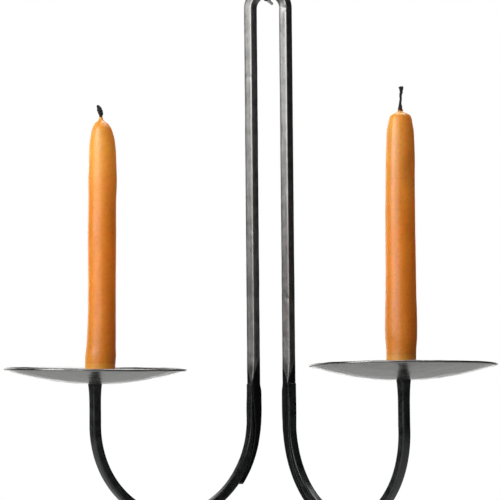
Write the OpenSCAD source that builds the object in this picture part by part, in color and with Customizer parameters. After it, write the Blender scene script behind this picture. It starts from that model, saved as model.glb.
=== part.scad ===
// Two-armed wall sconce for candles, forged from square bar.
// A hairpin of bar hangs on one wall nail. An arm is lapped on each leg, curves
// forward and outward like a J, and carries a dished drip pan and a candle spike.
// X to the right, front towards -Y, Z up. The origin is on the nail's axis at the wall.

/* [Hairpin hanger] */
// Side of the square hanger bar
bar_side = 8; // [6:0.5:9]
// Corner rounding of the hanger bar
bar_corner = 1.1; // [0.5:0.1:1.4]
// Half the spacing of the legs, centre to centre
leg_half_gap = 14; // [13:0.5:20]
// From the centre of the top bend down to the centre of the left J bend
leg_drop = 326; // [220:1:420]
// How far the legs' section is turned from standing exactly on its corner
bar_turn = 18; // [0:1:30]
// Distance from the wall to the bar's centre plane
wall_gap = 6.5; // [6:0.5:12]

/* [Arms] */
// Side of the square arm bar
arm_side = 7.5; // [6:0.5:8]
// Corner rounding of the arm bar
arm_corner = 1.7; // [0.8:0.1:1.9]
// Angle of each arm out from the plane of the hairpin
arm_angle = 45; // [35:1:60]
// From the left leg's centre line to the centre line of its upright stem
left_reach = 146.5; // [120:0.5:170]
// From the right leg's centre line to the centre line of its upright stem
right_reach = 144; // [120:0.5:170]
// How much lower the right J bend hangs than the left one
right_drop = 5; // [0:0.5:8]
// How far the bottom of each J bend is set back towards the wall
bend_back = 3.5; // [0:0.5:5]
// Straight stem above the left J bend
stem_rise = 29; // [24:0.5:45]
// How much wider the stem is where it carries the pan
stem_flare = 1.2; // [0:0.1:2]

/* [Lap joints] */
// Height of the laps' upper ends above the centre of the left J bend
lap_rise = 30; // [20:1:45]
// Angle round the bend where the left leg's tail ends
left_tail_angle = 38; // [20:1:60]
// Angle round the bend where the right leg's tail ends
right_tail_angle = 52; // [20:1:60]
// Thickness of the arm's thin upper end
arm_tip = 1.5; // [1:0.1:3]
// Thickness of the leg's blunt tail
tail_tip = 2.8; // [1.5:0.1:4]

/* [Drip pans] */
// Outer diameter of a pan
pan_d = 140; // [100:1:160]
// Depth of the dish below its rim, measured outside
pan_depth = 11.5; // [6:0.5:18]
// Sheet thickness
pan_sheet = 1.2; // [0.8:0.1:1.6]
// Radius of the bead round the rim
rim_bead_r = 1; // [0.9:0.1:1.6]
// Tilt of the left pan, front down
left_front_down = 2; // [-3:0.2:3]
// Tilt of the right pan, front down
right_front_down = -0.6; // [-3:0.2:3]
// Tilt of the left pan towards the hairpin
left_inward = 1.2; // [-2:0.2:2]
// Tilt of the right pan towards the hairpin
right_inward = 0; // [-2:0.2:2]

/* [Spikes] */
// Length of a spike above its collar
spike_length = 26; // [18:1:32]
// Radius at the foot of a spike
spike_r = 2.2; // [1.6:0.1:3]
// Radius of the collar under the candle
collar_r = 8; // [6:0.5:8]
// Thickness of the collar
collar_h = 1.6; // [1:0.1:2.5]
// Radius of the shank through the pan into the arm
shank_r = 2; // [1.6:0.1:2.4]

/* [Candles] */
// Radius of a candle at half height
candle_r = 11; // [9:0.1:12]
// Height of the left candle
left_candle_h = 196; // [120:1:240]
// Height of the right candle
right_candle_h = 199; // [120:1:240]
// How far the left candle's axis stands off its spike, towards the hairpin
left_off = 4; // [-5:0.5:5]
// How far the right candle's axis stands off its spike, towards the hairpin
right_off = 1.5; // [-5:0.5:5]
// Radius of the wicks
wick_r = 0.9; // [0.6:0.1:1.2]

/* [Wall nail] */
// Radius of the nail's shank inside the wall
nail_r = 1.2; // [0.9:0.1:1.2]
// Radius of the nail's thicker neck, which stops at the wall
neck_r = 1.6; // [1.6:0.1:2]
// Radius of the nail's head
nail_head_r = 2.4; // [2.2:0.1:4]
// Length of the nail inside the wall
nail_in_wall = 18; // [12:1:40]
// Length of the neck, from the wall to the head's underside
nail_out = 14; // [13:0.5:20]

/* [Hidden] */
$fn = 64;

LEFT = -1;
RIGHT = 1;
UP = [0, 0, 1];
FRONT = [0, -1, 0];
seat_gap = 0.3;                        // between pieces that lift or swing apart
corner_steps = 3;                      // facets on each rounded corner of a bar
shank_depth = 12;                      // shank below the pan
spike_tip_r = 0.4;
nail_head_h = 1.6;
nail_point = 5;                        // tapered end of the nail
wick_in_wax = 14;                      // length of wick set in the wax

// Half the width of a bar that stands on its corner
function half_diagonal(side, corner) = side / sqrt(2) - corner * (sqrt(2) - 1);

bend_z = half_diagonal(bar_side, bar_corner) + neck_r + seat_gap - leg_half_gap;
j_z = bend_z - leg_drop;
inner_edge = bar_side / 2 + arm_tip;   // outside of the arm's thin end, on the leg

// Sizes that differ from side to side
function tail_angle(side) = side == LEFT ? left_tail_angle : right_tail_angle;
function arm_reach(side) = side == LEFT ? left_reach : right_reach;
function drop(side) = side == LEFT ? 0 : right_drop;
function lap_height(side) = lap_rise + drop(side);
function stem_height(side) = stem_rise + drop(side);
function j_inner_r(side) = (arm_reach(side) - inner_edge - arm_side / 2) / 2;
function j_r(side) = j_inner_r(side) + arm_side / 2;
function lap_length(side) = lap_height(side) + j_r(side) * tail_angle(side) * PI / 180;

// Level directions in an arm's plane: out along the arm, and square to it
function along(side) = [side * cos(arm_angle), -sin(arm_angle), 0];
function across(side) = [-side * sin(arm_angle), -cos(arm_angle), 0];

function leg_foot(side) = [side * leg_half_gap, -wall_gap, j_z - drop(side)];
function bend_centre(side) = leg_foot(side) + along(side) * (inner_edge + j_inner_r(side));
function stem_foot(side) = leg_foot(side) + along(side) * arm_reach(side);
function stem_top(side) = stem_foot(side) + UP * stem_height(side);

// Direction from the bar towards the centre of the J bend, and a point on its inner edge
function inward(side, angle) = along(side) * cos(angle) + UP * sin(angle);
function inner_point(side, angle, rise = 0) =
    bend_centre(side) - inward(side, angle) * j_inner_r(side) + UP * rise
        - across(side) * bend_back * sin(angle);

// Stations of a lap, from its top: [rise above the bend, angle round the bend]
straight_steps = 3;
bend_step = 6;
function lap_stations(side) = concat(
    [for (i = [0 : straight_steps - 1]) [lap_height(side) * (1 - i / straight_steps), 0]],
    [for (a = [0 : bend_step : tail_angle(side) - bend_step / 2]) [0, a]],
    [[0, tail_angle(side)]]);
function lap_share(side, s) =
    (lap_height(side) - s[0] + j_r(side) * s[1] * PI / 180) / lap_length(side);
function arm_thickness(side, s) = arm_tip + (arm_side - arm_tip) * lap_share(side, s);
function tail_thickness(side, s) = bar_side + (tail_tip - bar_side) * lap_share(side, s);

// Points round a bar's section, in the plane of directions a and b, centred on c
function ring(c, a, b, w, t, corner) =
    let (r = min(corner, w / 2 - 0.05, t / 2 - 0.05))
    [for (q = [0 : 3]) for (k = [0 : corner_steps])
        let (turn = 90 * (q + k / corner_steps),
             x = (q == 0 || q == 3 ? 1 : -1) * (w / 2 - r) + r * cos(turn),
             y = (q < 2 ? 1 : -1) * (t / 2 - r) + r * sin(turn))
        c + a * x + b * y];

// A closed bar through a list of rings, each anticlockwise seen from the next one
module swept_bar(rings) {
    n = len(rings[0]);
    last = len(rings) - 1;
    polyhedron(
        points = [for (r = rings) each r],
        faces = concat(
            [[for (k = [0 : n - 1]) k]],
            [for (i = [0 : last - 1]) for (k = [0 : n - 1])
                [i * n + k, (i + 1) * n + k, (i + 1) * n + (k + 1) % n, i * n + (k + 1) % n]],
            [[for (k = [n - 1 : -1 : 0]) last * n + k]]),
        convexity = 8);
}

// Leg's tail: it thins along the lap and follows the outside of the arm
function tail_rings(side) = [for (s = lap_stations(side))
    let (t = tail_thickness(side, s), dir = inward(side, s[1]))
    ring(inner_point(side, s[1], s[0]) - dir * (arm_thickness(side, s) + t / 2),
        dir, across(side), t, bar_side - (bar_side - arm_side) / 2 * lap_share(side, s),
        bar_corner)];

// A ring of the bent bar: outward direction, centre, and turn of the section
function hanger_ring(centre, outward, turn) =
    ring(centre, outward * cos(turn) + FRONT * sin(turn),
        FRONT * cos(turn) - outward * sin(turn), bar_side, bar_side, bar_corner);

// Over the top bend the bar twists, so that both legs show the same faces in front
bend_steps = 18;
function top_bend_rings() = [for (i = [0 : bend_steps])
    let (angle = 180 * i / bend_steps, outward = [-cos(angle), 0, sin(angle)])
    hanger_ring([0, -wall_gap, bend_z] + outward * leg_half_gap, outward,
        45 + bar_turn * cos(angle))];

// Above each lap the leg twists to line up with the arm's plane
twist_length = 20;
twist_steps = 3;
function twist_rings(side) = [for (i = [1 : twist_steps])
    hanger_ring(leg_foot(side) + UP * (lap_height(side) + twist_length * i / twist_steps),
        [side, 0, 0], 45 - side * bar_turn * i / twist_steps)];

function reversed(list) = [for (i = [len(list) - 1 : -1 : 0]) list[i]];

module hairpin_hanger() {
    color("#2b2d30")
    swept_bar(concat(
        reversed(tail_rings(LEFT)), twist_rings(LEFT), top_bend_rings(),
        reversed(twist_rings(RIGHT)), tail_rings(RIGHT)));
}

// How each pan and its candle lean on top of the stem
function lean(side) = side == LEFT
    ? [left_front_down, left_inward, 0] : [right_front_down, -right_inward, 0];

// Puts its children on top of a stem, leaning with the pan
module on_stem(side) {
    translate(stem_top(side)) rotate(lean(side)) children();
}

// The stem's top face leans with the pan that it carries
function leaning(side, p) =
    let (a = lean(side)[0], b = lean(side)[1], y = [p[0], p[1] * cos(a), p[1] * sin(a)])
    [y[0] * cos(b), y[1], y[2] - y[0] * sin(b)];
function top_ring(side, w) = [for (p = ring([0, 0, 0], -along(side), across(side) * -side,
    w, w, arm_corner)) stem_top(side) + leaning(side, p)];

function arm_rings(side) = concat(
    [for (s = lap_stations(side))
        let (t = arm_thickness(side, s), dir = inward(side, s[1]))
        ring(inner_point(side, s[1], s[0]) - dir * t / 2, dir, across(side) * -side,
            t, arm_side, arm_corner)],
    [for (a = [ceil(tail_angle(side) / bend_step + 0.5) * bend_step : bend_step : 180])
        ring(inner_point(side, a) - inward(side, a) * arm_side / 2, inward(side, a),
            across(side) * -side, arm_side, arm_side, arm_corner)],
    [for (h = [0.5 : 0.1 : 0.9]) let (w = arm_side + stem_flare * pow((h - 0.5) * 2, 2))
        ring(stem_foot(side) + UP * stem_height(side) * h, -along(side), across(side) * -side,
            w, w, arm_corner)],
    [top_ring(side, arm_side + stem_flare)]);

module arm(side) {
    color("#202225")
    difference() {
        swept_bar(reversed(arm_rings(side)));
        on_stem(side) translate([0, 0, -shank_depth]) cylinder(r = shank_r, h = shank_depth + 2);
    }
}

pan_r = pan_d / 2 - rim_bead_r;        // centre line of the rim's bead
seat_flat_r = collar_r + 0.5;
dish_power = 1.7;
dish_steps = 14;
// Height of the dish's underside at radius r
function dish_z(r) = r <= seat_flat_r ? 0
    : (pan_depth - rim_bead_r) * pow((r - seat_flat_r) / (pan_r - seat_flat_r), dish_power);
dish_radii = [for (i = [0 : dish_steps]) seat_flat_r + (pan_r - seat_flat_r) * i / dish_steps];

module drip_pan(side) {
    color("#3a3b3c")
    on_stem(side) difference() {
        rotate_extrude($fn = 96) union() {
            polygon(concat(
                [[0, 0]], [for (r = dish_radii) [r, dish_z(r)]],
                [for (r = reversed(dish_radii)) [r, dish_z(r) + pan_sheet]], [[0, pan_sheet]]));
            translate([pan_r, dish_z(pan_r) + pan_sheet / 2]) circle(r = rim_bead_r);
        }
        translate([0, 0, -1]) cylinder(r = shank_r, h = pan_sheet + 2);
    }
}

// Spike, collar and shank are one turned pin
module spike(side) {
    color("#4a4b4d")
    on_stem(side) rotate_extrude() polygon([
        [0, -shank_depth], [shank_r, -shank_depth], [shank_r, pan_sheet],
        [collar_r, pan_sheet], [collar_r, pan_sheet + collar_h],
        [spike_r, pan_sheet + collar_h], [spike_tip_r, pan_sheet + collar_h + spike_length],
        [0, pan_sheet + collar_h + spike_length]]);
}

candle_foot_z = pan_sheet + collar_h + seat_gap;
function candle_h(side) = side == LEFT ? left_candle_h : right_candle_h;
function candle_off(side) = side == LEFT ? left_off : right_off;
function candle_spot(side) = [-side * candle_off(side), 0, candle_foot_z];

foot_spread = 0.6;                     // the softened foot is a little wider
foot_h = 8;
shoulder_r = candle_r - 1.6;
shoulder_drop = 18;                    // below the top, where the wax draws in
dome_h = 7;

module candle(side) {
    h = candle_h(side);
    color("#d98336")
    on_stem(side) difference() {
        translate(candle_spot(side)) difference() {
            rotate_extrude() polygon(concat(
                [[0, 0], [candle_r + foot_spread, 0], [candle_r, foot_h],
                    [candle_r, h - shoulder_drop - 12], [shoulder_r, h - dome_h]],
                [for (a = [15 : 15 : 90]) [shoulder_r * cos(a), h - dome_h * (1 - sin(a))]]));
            translate([0, 0, h - wick_in_wax]) cylinder(r = wick_r, h = wick_in_wax + 1);
        }
        // Spike hole, a cone that clears the spike all round
        translate([0, 0, candle_foot_z - 0.1]) rotate_extrude() polygon([
            [0, 0], [spike_r + seat_gap, 0], [spike_tip_r + seat_gap, spike_length + seat_gap],
            [0, spike_length + 2 * seat_gap]]);
    }
}

// Bare wick above the wax: [sideways towards +X, height above the wax, radius]
left_wick_bends = [[0, -0.5, 0.9], [-0.2, 2, 0.9], [-1, 5, 1], [-2.2, 7.6, 1.2],
    [-3.8, 9, 1.3], [-5.2, 9, 0.8]];
right_wick_bends = [[0, -0.5, 0.9], [-0.3, 5, 0.9], [0, 10, 0.9], [0.6, 14, 1],
    [0.8, 17, 1.6], [0.4, 19, 1.1]];
function wick_bends(side) = side == LEFT ? left_wick_bends : right_wick_bends;
// A round section square to the wick's run at bend i
function wick_ring(bends, i, sides = 12) =
    let (last = len(bends) - 1, from = bends[max(i - 1, 0)], to = bends[min(i + 1, last)],
         run = [to[0] - from[0], to[1] - from[1]] / norm([to[0] - from[0], to[1] - from[1]]),
         p = bends[i])
    [for (k = [0 : sides - 1]) let (x = p[2] * cos(360 * k / sides))
        [p[0] + x * run[1], p[2] * sin(360 * k / sides), p[1] - x * run[0]]];

module wick(side) {
    h = candle_h(side);
    bends = wick_bends(side);
    color("#171514")
    on_stem(side) translate(candle_spot(side) + UP * h) {
        translate([0, 0, -wick_in_wax]) cylinder(r = wick_r, h = wick_in_wax);
        swept_bar([for (i = [0 : len(bends) - 1]) wick_ring(bends, i)]);
    }
}

// Round nail, point in the wall and head in front of the hairpin's bend
module wall_nail() {
    color("#3c3a38")
    rotate([90, 0, 0]) rotate_extrude() polygon([
        [0, -nail_in_wall], [nail_r, nail_point - nail_in_wall], [nail_r, 0],
        [neck_r, 0], [neck_r, nail_out], [nail_head_r, nail_out],
        [nail_head_r, nail_out + nail_head_h / 2], [nail_head_r * 0.7, nail_out + nail_head_h],
        [0, nail_out + nail_head_h]]);
}

wall_nail();
hairpin_hanger();
arm(LEFT);  // left_arm
arm(RIGHT);  // right_arm
drip_pan(LEFT);  // left_drip_pan
drip_pan(RIGHT);  // right_drip_pan
spike(LEFT);  // left_spike
spike(RIGHT);  // right_spike
candle(LEFT);  // left_candle
candle(RIGHT);  // right_candle
wick(LEFT);  // left_wick
wick(RIGHT);  // right_wick
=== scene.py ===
"""Two-armed wall sconce, forged from square bar, with dished drip pans and hand-dipped candles.

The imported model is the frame. Each operator makes one kind of piece round it: the nail, the hairpin
hanger, the arms, the drip pans, the spikes, the candles and the wicks. The stage comes first.
X runs to the right, the front faces -Y and Z is up; lengths are in metres.
"""

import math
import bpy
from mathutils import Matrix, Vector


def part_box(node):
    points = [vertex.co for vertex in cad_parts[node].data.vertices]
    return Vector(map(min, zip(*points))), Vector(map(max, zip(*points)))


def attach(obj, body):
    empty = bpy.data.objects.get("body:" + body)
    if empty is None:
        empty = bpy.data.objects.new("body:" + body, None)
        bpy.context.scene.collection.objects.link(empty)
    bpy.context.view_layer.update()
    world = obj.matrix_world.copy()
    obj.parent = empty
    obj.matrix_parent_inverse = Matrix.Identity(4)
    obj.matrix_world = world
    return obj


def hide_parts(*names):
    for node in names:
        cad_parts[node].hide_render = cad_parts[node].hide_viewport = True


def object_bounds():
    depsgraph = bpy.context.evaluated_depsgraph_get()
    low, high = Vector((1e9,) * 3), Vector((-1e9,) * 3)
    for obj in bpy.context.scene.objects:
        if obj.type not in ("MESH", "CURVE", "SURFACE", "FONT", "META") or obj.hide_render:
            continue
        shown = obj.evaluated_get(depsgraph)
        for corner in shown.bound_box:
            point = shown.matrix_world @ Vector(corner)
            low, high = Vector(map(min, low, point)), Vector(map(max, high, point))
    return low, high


bl_info = {
    "name": "Forged Candle Sconce",
    "version": (1, 0, 0),
    "blender": (4, 5, 0),
    "location": "3D View > Sidebar > Sconce",
    "description": "Builds a forged two-armed wall sconce with drip pans and dipped candles",
    "category": "Add Mesh",
}

import bmesh
import bpy
from bpy.props import FloatProperty, FloatVectorProperty, PointerProperty
from mathutils import Matrix, Vector, noise

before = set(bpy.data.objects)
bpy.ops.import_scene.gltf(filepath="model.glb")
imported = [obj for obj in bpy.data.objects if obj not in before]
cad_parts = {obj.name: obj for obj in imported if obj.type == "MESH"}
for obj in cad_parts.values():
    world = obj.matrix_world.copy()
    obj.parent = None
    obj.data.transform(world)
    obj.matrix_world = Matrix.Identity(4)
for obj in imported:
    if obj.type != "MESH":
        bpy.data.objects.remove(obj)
CAD_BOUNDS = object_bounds()

LEFT, RIGHT = -1, 1
SIDE_NAMES = {LEFT: "left", RIGHT: "right"}
UP = Vector((0, 0, 1))
FRONT = Vector((0, -1, 0))
MM = 0.001
# How far a piece's box may differ from that of its CAD node. Candles differ by their hand-dipped
# tops, and wicks by the length hidden in the wax.
FIT_SLACK, CANDLE_SLACK, WICK_SLACK = 1.2 * MM, 7 * MM, 11 * MM


# ---------------------------------------------------------------- sizes and colours

def length(name, description, default, low=0.0, high=1.0):
    """A length that the panel shows in the scene's unit."""
    return FloatProperty(name=name, description=description, default=default, min=low, max=high,
                         subtype="DISTANCE", unit="LENGTH", precision=4)


def angle(name, description, degrees, low=-90, high=90):
    """An angle, given here in degrees."""
    return FloatProperty(name=name, description=description, default=math.radians(degrees),
                         min=math.radians(low), max=math.radians(high),
                         subtype="ANGLE", unit="ROTATION")


def colour(name, description, default):
    """A linear colour."""
    return FloatVectorProperty(name=name, description=description, default=default, size=3,
                               min=0, max=1, subtype="COLOR")


class SconceForging(bpy.types.PropertyGroup):
    """Sizes of the forged bars."""

    bar_side: length("Hanger bar", "Side of the square hanger bar", 8 * MM)
    bar_corner: length("Hanger corner", "Corner rounding of the hanger bar", 1.1 * MM)
    leg_half_gap: length("Half leg spacing", "Half the spacing of the legs", 14 * MM)
    leg_drop: length("Leg drop", "From the top bend's centre to the J bends' centres", 326 * MM)
    bar_turn: angle("Bar turn", "Turn of the legs' section from standing on its corner", 18)
    wall_gap: length("Wall gap", "From the wall to the bar's centre plane", 6.5 * MM)
    twist_length: length("Twist", "Length of leg that twists above each lap", 20 * MM)
    arm_side: length("Arm bar", "Side of the square arm bar", 7.5 * MM)
    arm_corner: length("Arm corner", "Corner rounding of the arm bar", 1.7 * MM)
    arm_angle: angle("Arm angle", "Angle of each arm out from the hairpin's plane", 45)
    left_reach: length("Left reach", "From the left leg's centre line to its stem's", 146.5 * MM)
    right_reach: length("Right reach", "From the right leg's centre line to its stem's", 144 * MM)
    right_drop: length("Right drop", "How much lower the right J bend hangs", 5 * MM)
    bend_back: length("Bend back", "How far the J bends' bottoms are set back", 3.5 * MM)
    stem_rise: length("Stem rise", "Straight stem above the J bend", 29 * MM)
    stem_flare: length("Stem flare", "How much wider the stem is under the pan", 1.2 * MM)
    lap_rise: length("Lap rise", "Height of the lap's top above the J bend's centre", 30 * MM)
    left_tail: angle("Left tail", "Angle round the bend where the left tail ends", 38)
    right_tail: angle("Right tail", "Angle round the bend where the right tail ends", 52)
    arm_tip: length("Arm tip", "Thickness of the arm's thin upper end", 1.5 * MM)
    lap_swell: length("Lap swell", "How much the hammer has spread the top of a lap", 1.1 * MM)
    tail_tip: length("Tail tip", "Thickness of the leg's blunt tail", 2.8 * MM)
    hammer_depth: length("Hammer marks", "Depth of the hammer marks on the bars", 0.16 * MM)


class SconcePans(bpy.types.PropertyGroup):
    """Sizes of the drip pans, spikes and nail."""

    width: length("Pan width", "Outer diameter of a drip pan", 139.9 * MM)
    depth: length("Pan depth", "Depth of the dish below its rim, outside", 11.5 * MM)
    sheet: length("Sheet", "Thickness of the pan's sheet", 1.2 * MM)
    bead: length("Rim bead", "Radius of the bead round the rim", 1 * MM)
    left_front_down: angle("Left tilt", "Tilt of the left pan, front down", 2)
    right_front_down: angle("Right tilt", "Tilt of the right pan, front down", -0.6)
    left_inward: angle("Left lean", "Tilt of the left pan towards the hairpin", 1.2)
    spike_length: length("Spike", "Length of a spike above its collar", 26 * MM)
    spike_radius: length("Spike radius", "Radius at the foot of a spike", 2.2 * MM)
    collar_radius: length("Collar radius", "Radius of the collar under the candle", 8 * MM)
    collar_height: length("Collar", "Thickness of the collar", 1.6 * MM)
    shank_radius: length("Shank radius", "Radius of the spike's shank", 2 * MM)
    shank_depth: length("Shank", "Depth of the shank below the pan", 12 * MM)
    nail_radius: length("Nail", "Radius of the nail in the wall", 1.2 * MM)
    neck_radius: length("Nail neck", "Radius of the nail's neck", 1.6 * MM)
    head_radius: length("Nail head", "Radius of the nail's head", 2.4 * MM)
    nail_in_wall: length("Nail in wall", "Length of the nail inside the wall", 18 * MM)
    nail_out: length("Nail out", "Length of the neck in front of the wall", 14 * MM)


class SconceCandles(bpy.types.PropertyGroup):
    """Sizes of the candles and wicks."""

    left_height: length("Left candle", "Height of the left candle", 195.5 * MM)
    right_height: length("Right candle", "Height of the right candle", 196.2 * MM)
    left_off: length("Left offset", "Left candle's axis off its spike, inward", 4 * MM)
    right_off: length("Right offset", "Right candle's axis off its spike, inward", 1.5 * MM)
    lift: length("Seat gap", "Gap between a collar and its candle", 0.3 * MM)
    dip_ripple: length("Dip ripple", "Unevenness left by hand dipping", 0.22 * MM)


class SconceFinish(bpy.types.PropertyGroup):
    """Colours of the finishes."""

    bar_black: colour("Bar", "Dark satin steel of the hanger bar", (0.235, 0.233, 0.227))
    arm_black: colour("Arms", "Satin black of the arms", (0.006, 0.007, 0.008))
    pan_black: colour("Pans", "Dark satin steel of the drip pans", (0.205, 0.205, 0.20))
    # The laps' colour is painted shade: a far darker steel than the bar's, below the laps' tops
    lap_shade_black: colour("Laps", "Fire scale on the laps", (0.022, 0.023, 0.024))
    worn_steel: colour("Worn steel", "Steel that shows where paint is worn", (0.22, 0.20, 0.18))
    # wax_light is the colour that the wax pales to, from halfway up to a candle's top
    wax_light: colour("Wax, light", "Thin, pale wax near a candle's top", (0.91, 0.42, 0.045))
    wax_deep: colour("Wax, deep", "Deep amber of the wax", (0.87, 0.30, 0.006))
    char: colour("Char", "Charred cotton of the wicks", (0.012, 0.010, 0.010))
    soaked: colour("Soaked wick", "Wick soaked with scorched wax", (0.10, 0.030, 0.006))


class SconceStage(bpy.types.PropertyGroup):
    """Floor, lights and camera."""

    floor_drop: length("Floor drop", "Floor below the lowest point of the sconce", 0.26, high=3)
    camera_azimuth: angle("Azimuth", "Camera's turn to the right of square on", 9.7)
    camera_elevation: angle("Elevation", "Camera's angle above level", -4)
    camera_roll: angle("Roll", "Camera's roll", -0.5)
    camera_distance: length("Distance", "From the camera to the point it aims at", 2.2, high=10)
    aim: FloatVectorProperty(name="Aim", description="Point that the camera aims at", size=3,
                             default=(-0.016, -0.0065, -0.1978), subtype="TRANSLATION",
                             unit="LENGTH")
    lens: FloatProperty(name="Lens", description="Focal length in millimetres", default=201.5,
                        min=10, max=500)
    floor_colour: colour("Floor", "Pale floor", (0.80, 0.80, 0.79))


# ---------------------------------------------------------------- where the bars run

def lerp(a, b, t):
    return a + (b - a) * t


def ease(t):
    """0 before 0, 1 after 1, and smooth in between."""
    t = min(1.0, max(0.0, t))
    return t * t * (3 - 2 * t)


def half_diagonal(side, corner):
    """Half the width of a rounded bar that stands on its corner."""
    return side / math.sqrt(2) - corner * (math.sqrt(2) - 1)


# The arm's upper end is drawn out this thin on the leg, over this length
FEATHER_EDGE, FEATHER_LENGTH = 0.25 * MM, 24 * MM
# The hammer's spread of the lap comes in over the first length, holds to the second and goes over
# the third
SWELL_COMES, SWELL_HOLDS, SWELL_GOES = 6 * MM, 18 * MM, 24 * MM


class Route:
    """Centres, directions and stations of the forged bars, worked out from the sizes."""

    def __init__(self, scene):
        self.size = size = scene.sconce_forging
        self.pans = pans = scene.sconce_pans
        self.candles = scene.sconce_candles
        rest = half_diagonal(size.bar_side, size.bar_corner) + pans.neck_radius
        self.bend_z = rest + self.candles.lift - size.leg_half_gap
        self.j_z = self.bend_z - size.leg_drop
        self.inner_edge = size.bar_side / 2 + size.arm_tip

    def reach(self, side):
        """Level distance from a leg's centre line to its stem's."""
        return self.size.left_reach if side == LEFT else self.size.right_reach

    def drop(self, side):
        """How much lower a side's J bend hangs than the left one."""
        return 0.0 if side == LEFT else self.size.right_drop

    def j_inner_r(self, side):
        return (self.reach(side) - self.inner_edge - self.size.arm_side / 2) / 2

    def j_r(self, side):
        return self.j_inner_r(side) + self.size.arm_side / 2

    def lap_height(self, side):
        return self.size.lap_rise + self.drop(side)

    def stem_height(self, side):
        return self.size.stem_rise + self.drop(side)

    def along(self, side):
        """Level direction from a leg out along its arm."""
        a = self.size.arm_angle
        return Vector((side * math.cos(a), -math.sin(a), 0))

    def across(self, side):
        """Level direction square to an arm's plane, on its front side."""
        a = self.size.arm_angle
        return Vector((-side * math.sin(a), -math.cos(a), 0))

    def inward(self, side, turn):
        """Direction from the bar towards the J bend's centre."""
        return self.along(side) * math.cos(turn) + UP * math.sin(turn)

    def leg_foot(self, side):
        return Vector((side * self.size.leg_half_gap, -self.size.wall_gap,
                       self.j_z - self.drop(side)))

    def inner_point(self, side, turn, rise=0.0):
        """Point on the concave edge of the J."""
        radius = self.j_inner_r(side)
        centre = self.leg_foot(side) + self.along(side) * (self.inner_edge + radius)
        set_back = self.across(side) * self.size.bend_back * math.sin(turn)
        return centre - self.inward(side, turn) * radius - set_back + UP * rise

    def stem_foot(self, side):
        return self.leg_foot(side) + self.along(side) * self.reach(side)

    def tail(self, side):
        return self.size.left_tail if side == LEFT else self.size.right_tail

    def lap_stations(self, side, step=1.5 * MM):
        """(rise above the bend, turn round it, distance down the lap, share of it) down a lap."""
        rise, tail, radius = self.lap_height(side), self.tail(side), self.j_r(side)
        straight = round(rise / step)
        bent = round(tail * radius / step)
        whole = rise + radius * tail
        stations = [(rise * (1 - i / straight), 0.0) for i in range(straight)]
        stations += [(0.0, tail * i / bent) for i in range(bent + 1)]
        return [(r, t, rise - r + radius * t, (rise - r + radius * t) / whole)
                for r, t in stations]

    def feather(self, down):
        """How much of the arm's thin end is missing where it is drawn out on the leg."""
        return (self.size.arm_tip - FEATHER_EDGE) * (1 - ease(down / FEATHER_LENGTH))

    def arm_thickness(self, down, part):
        return lerp(self.size.arm_tip, self.size.arm_side, part) - self.feather(down)

    def tail_thickness(self, down, part):
        spread = ease(down / SWELL_COMES) * (1 - ease((down - SWELL_HOLDS) / SWELL_GOES))
        return lerp(self.size.bar_side, self.size.tail_tip, part) + self.size.lap_swell * spread

    def stem_top(self, side):
        """Place of a stem's top, leaning with the pan."""
        front = self.pans.left_front_down if side == LEFT else self.pans.right_front_down
        inward = self.pans.left_inward if side == LEFT else 0.0
        lean = Matrix.Rotation(inward, 4, "Y") @ Matrix.Rotation(front, 4, "X")
        return Matrix.Translation(self.stem_foot(side) + UP * self.stem_height(side)) @ lean

    def candle_foot(self, side):
        """Place of a candle's foot on its collar."""
        rise = self.pans.sheet + self.pans.collar_height + self.candles.lift
        return self.stem_top(side) @ Matrix.Translation((-side * self.candle_off(side), 0, rise))

    def candle_off(self, side):
        return self.candles.left_off if side == LEFT else self.candles.right_off

    def candle_height(self, side):
        return self.candles.left_height if side == LEFT else self.candles.right_height


# ---------------------------------------------------------------- mesh making

def bar_ring(centre, a, b, wide, thick, corner, flat_steps=4, corner_steps=5):
    """Points round a rounded rectangle: wide along a, thick along b."""
    corner = min(corner, wide / 2 - 0.05 * MM, thick / 2 - 0.05 * MM)
    corners = []
    for quarter in range(4):
        x_sign = 1 if quarter in (0, 3) else -1
        y_sign = 1 if quarter < 2 else -1
        rounding = []
        for k in range(corner_steps + 1):
            turn = math.pi / 2 * (quarter + k / corner_steps)
            x = x_sign * (wide / 2 - corner) + corner * math.cos(turn)
            y = y_sign * (thick / 2 - corner) + corner * math.sin(turn)
            rounding.append(centre + a * x + b * y)
        corners.append(rounding)
    points = []
    for rounding, after in zip(corners, corners[1:] + corners[:1]):
        points += rounding
        points += [rounding[-1].lerp(after[0], k / flat_steps) for k in range(1, flat_steps)]
    return points


def middle(ring):
    return sum(ring, Vector()) / len(ring)


def shrunk(ring, inset, shift):
    """The ring drawn in towards its middle by inset, and moved by shift."""
    centre = middle(ring)
    reach = min((p - centre).length for p in ring)
    return [centre + (p - centre) * (1 - inset / reach) + shift for p in ring]


def rounded_ends(rings, radius, steps=4):
    """Rings with the two square ends rounded over, at the same overall length."""
    def end(outer, inner):
        out = (middle(outer) - middle(inner)).normalized()
        return [shrunk(outer, radius * (1 - math.cos(math.pi / 2 * k / steps)),
                       out * (radius * (math.sin(math.pi / 2 * k / steps) - 1)))
                for k in range(steps, -1, -1)]
    first = end(rings[0], rings[1])
    last = end(rings[-1], rings[-2])
    return first + rings[1:-1] + last[::-1]


def hammered(rings, depth, seed, cell=13 * MM):
    """Rings pressed in here and there, as a hammer leaves a bar."""
    shift = Vector((seed, 0, 0))
    pressed = []
    for ring in rings:
        centre = middle(ring)
        pressed.append([
            p + (centre - p).normalized() * depth
            * (0.5 + 0.5 * noise.noise(p / cell + shift) + 0.25 * noise.noise(p / (cell * 0.3)))
            for p in ring])
    return pressed


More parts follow.
